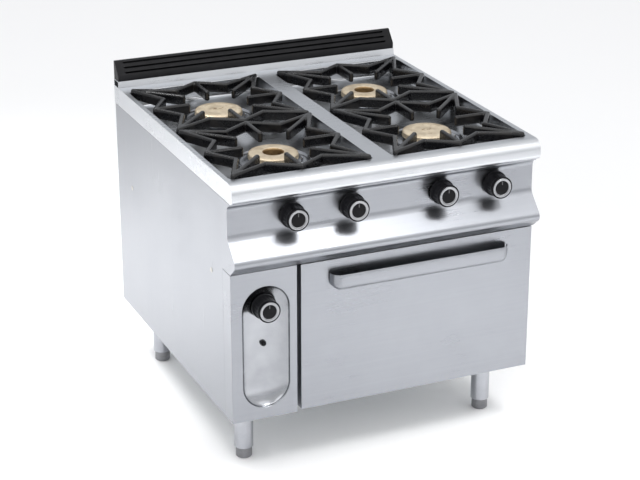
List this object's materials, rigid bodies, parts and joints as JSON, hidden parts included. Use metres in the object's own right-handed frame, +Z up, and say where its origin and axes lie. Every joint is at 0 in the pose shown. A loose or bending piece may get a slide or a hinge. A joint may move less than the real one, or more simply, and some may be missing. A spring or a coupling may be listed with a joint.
{
  "type": "commercial gas range",
  "caption": "Stainless commercial gas range with open burners, cast pan supports, front knobs and a drop-down oven door on tubular legs.",
  "frame": {"origin": "on the floor under the middle of the whole object's bounding box", "axes": "+X to the right as seen from the front, +Y to the back (the door faces -Y), +Z up"},
  "size_m": [0.85, 0.952, 0.88],
  "materials": {
    "stainless": "satin brushed stainless sheet",
    "stainless_polished": "bright pressed stainless, soft reflections",
    "chromed": "bright chromed tube and wire",
    "black_enamel": "black vitreous enamel on cast iron",
    "black_sheet": "black enamelled sheet",
    "oven_enamel": "dark speckled oven enamel",
    "galvanised": "galvanised sheet",
    "brass_crown": "machined brass, heat dulled",
    "brass_fitting": "turned brass",
    "cast_aluminium": "sand cast aluminium",
    "zinc_steel": "zinc plated steel",
    "knob_black": "moulded heat resisting plastic, half gloss",
    "black_plastic": "moulded plastic",
    "gasket": "woven and rubber coated seal",
    "wool": "pressed mineral wool",
    "ceramic_white": "glazed ceramic",
    "foot_plastic": "moulded foot insert"
  },
  "bodies": {
    "range_body": {"base_tray": "galvanised", "legs": "chromed", "side_panel_left": "stainless", "side_panel_right": "stainless", "side_plugs": "zinc_steel", "back_panel": "galvanised", "front_frame": "stainless", "worktop": "stainless", "flue_riser": "black_sheet", "control_fascia": "stainless", "service_panel": "stainless", "control_recess": "stainless_polished", "door_gasket": "gasket", "hinge_brackets": "zinc_steel", "oven_liner": "oven_enamel", "oven_insulation": "wool", "rack_guides": "chromed", "oven_rack": "chromed", "oven_floor_plate": "oven_enamel", "oven_burner": "zinc_steel", "oven_flue": "galvanised", "gas_inlet": "brass_fitting", "gas_manifold": "zinc_steel", "gas_taps": "brass_fitting", "supply_pipes": "brass_fitting", "oven_thermostat": "cast_aluminium", "knob_bezels": "black_plastic", "igniter_body": "black_plastic", "burner_bodies": "cast_aluminium", "burner_dishes": "stainless_polished", "pilot_burners": "ceramic_white", "thermocouples": "chromed"},
    "oven_door": {"door_outer_skin": "stainless", "door_inner_skin": "oven_enamel", "door_insulation": "wool", "door_handle": "stainless_polished", "door_hinges": "zinc_steel"},
    "tap_1": {"tap_spindle_1": "zinc_steel"},
    "knob_1_body": {"knob_1": "knob_black"},
    "tap_2": {"tap_spindle_2": "zinc_steel"},
    "knob_2_body": {"knob_2": "knob_black"},
    "tap_3": {"tap_spindle_3": "zinc_steel"},
    "knob_3_body": {"knob_3": "knob_black"},
    "tap_4": {"tap_spindle_4": "zinc_steel"},
    "knob_4_body": {"knob_4": "knob_black"},
    "oven_tap": {"oven_spindle": "zinc_steel"},
    "oven_knob_body": {"oven_knob": "knob_black"},
    "igniter": {"igniter_button": "knob_black"},
    "foot_front_left_body": {"foot_front_left": "foot_plastic"},
    "crown_front_left_body": {"crown_front_left": "brass_crown"},
    "grate_front_left_body": {"grate_front_left": "black_enamel"},
    "foot_front_right_body": {"foot_front_right": "foot_plastic"},
    "crown_front_right_body": {"crown_front_right": "brass_crown"},
    "grate_front_right_body": {"grate_front_right": "black_enamel"},
    "foot_rear_left_body": {"foot_rear_left": "foot_plastic"},
    "crown_rear_left_body": {"crown_rear_left": "brass_crown"},
    "grate_rear_left_body": {"grate_rear_left": "black_enamel"},
    "foot_rear_right_body": {"foot_rear_right": "foot_plastic"},
    "crown_rear_right_body": {"crown_rear_right": "brass_crown"},
    "grate_rear_right_body": {"grate_rear_right": "black_enamel"}
  },
  "joints": [
    {"name": "oven_door_hinge", "type": "hinge", "parent": "range_body", "child": "oven_door", "pos_m": [0.0945, -0.415, 0.18], "axis": [1, 0, 0], "range_deg": [0, 90]},
    {"name": "tap_1_turn", "type": "hinge", "parent": "range_body", "child": "tap_1", "pos_m": [-0.256, -0.42, 0.701], "axis": [0, -1, 0], "range_deg": [0, 180]},
    {"name": "knob_1_push", "type": "slide", "parent": "tap_1", "child": "knob_1_body", "axis": [0, 1, 0], "range_m": [0, 0.002], "stiffness_N_per_m": 600, "springref_m": -0.004},
    {"name": "tap_2_turn", "type": "hinge", "parent": "range_body", "child": "tap_2", "pos_m": [-0.093, -0.42, 0.701], "axis": [0, -1, 0], "range_deg": [0, 180]},
    {"name": "knob_2_push", "type": "slide", "parent": "tap_2", "child": "knob_2_body", "axis": [0, 1, 0], "range_m": [0, 0.002], "stiffness_N_per_m": 600, "springref_m": -0.004},
    {"name": "tap_3_turn", "type": "hinge", "parent": "range_body", "child": "tap_3", "pos_m": [0.157, -0.42, 0.701], "axis": [0, -1, 0], "range_deg": [0, 180]},
    {"name": "knob_3_push", "type": "slide", "parent": "tap_3", "child": "knob_3_body", "axis": [0, 1, 0], "range_m": [0, 0.002], "stiffness_N_per_m": 600, "springref_m": -0.004},
    {"name": "tap_4_turn", "type": "hinge", "parent": "range_body", "child": "tap_4", "pos_m": [0.31, -0.42, 0.701], "axis": [0, -1, 0], "range_deg": [0, 180]},
    {"name": "knob_4_push", "type": "slide", "parent": "tap_4", "child": "knob_4_body", "axis": [0, 1, 0], "range_m": [0, 0.002], "stiffness_N_per_m": 600, "springref_m": -0.004},
    {"name": "oven_tap_turn", "type": "hinge", "parent": "range_body", "child": "oven_tap", "pos_m": [-0.3295, -0.4, 0.464], "axis": [0, -1, 0], "range_deg": [0, 270]},
    {"name": "oven_knob_push", "type": "slide", "parent": "oven_tap", "child": "oven_knob_body", "axis": [0, 1, 0], "range_m": [0, 0.002], "stiffness_N_per_m": 600, "springref_m": -0.004},
    {"name": "igniter_push", "type": "slide", "parent": "range_body", "child": "igniter", "axis": [0, 1, 0], "range_m": [0, 0.005], "stiffness_N_per_m": 400, "springref_m": -0.003},
    {"name": "grate_front_left_lift", "type": "slide", "parent": "range_body", "child": "grate_front_left_body", "axis": [0, 0, 1], "range_m": [0, 0.12]},
    {"name": "grate_front_right_lift", "type": "slide", "parent": "range_body", "child": "grate_front_right_body", "axis": [0, 0, 1], "range_m": [0, 0.12]},
    {"name": "grate_rear_left_lift", "type": "slide", "parent": "range_body", "child": "grate_rear_left_body", "axis": [0, 0, 1], "range_m": [0, 0.12]},
    {"name": "grate_rear_right_lift", "type": "slide", "parent": "range_body", "child": "grate_rear_right_body", "axis": [0, 0, 1], "range_m": [0, 0.12]},
    {"name": "crown_front_left_lift", "type": "slide", "parent": "range_body", "child": "crown_front_left_body", "axis": [0, 0, 1], "range_m": [0, 0.1]},
    {"name": "crown_front_right_lift", "type": "slide", "parent": "range_body", "child": "crown_front_right_body", "axis": [0, 0, 1], "range_m": [0, 0.1]},
    {"name": "crown_rear_left_lift", "type": "slide", "parent": "range_body", "child": "crown_rear_left_body", "axis": [0, 0, 1], "range_m": [0, 0.1]},
    {"name": "crown_rear_right_lift", "type": "slide", "parent": "range_body", "child": "crown_rear_right_body", "axis": [0, 0, 1], "range_m": [0, 0.1]},
    {"name": "foot_front_left_adjust", "type": "slide", "parent": "range_body", "child": "foot_front_left_body", "axis": [0, 0, -1], "range_m": [0, 0.035]},
    {"name": "foot_front_right_adjust", "type": "slide", "parent": "range_body", "child": "foot_front_right_body", "axis": [0, 0, -1], "range_m": [0, 0.035]},
    {"name": "foot_rear_left_adjust", "type": "slide", "parent": "range_body", "child": "foot_rear_left_body", "axis": [0, 0, -1], "range_m": [0, 0.035]},
    {"name": "foot_rear_right_adjust", "type": "slide", "parent": "range_body", "child": "foot_rear_right_body", "axis": [0, 0, -1], "range_m": [0, 0.035]}
  ]
}
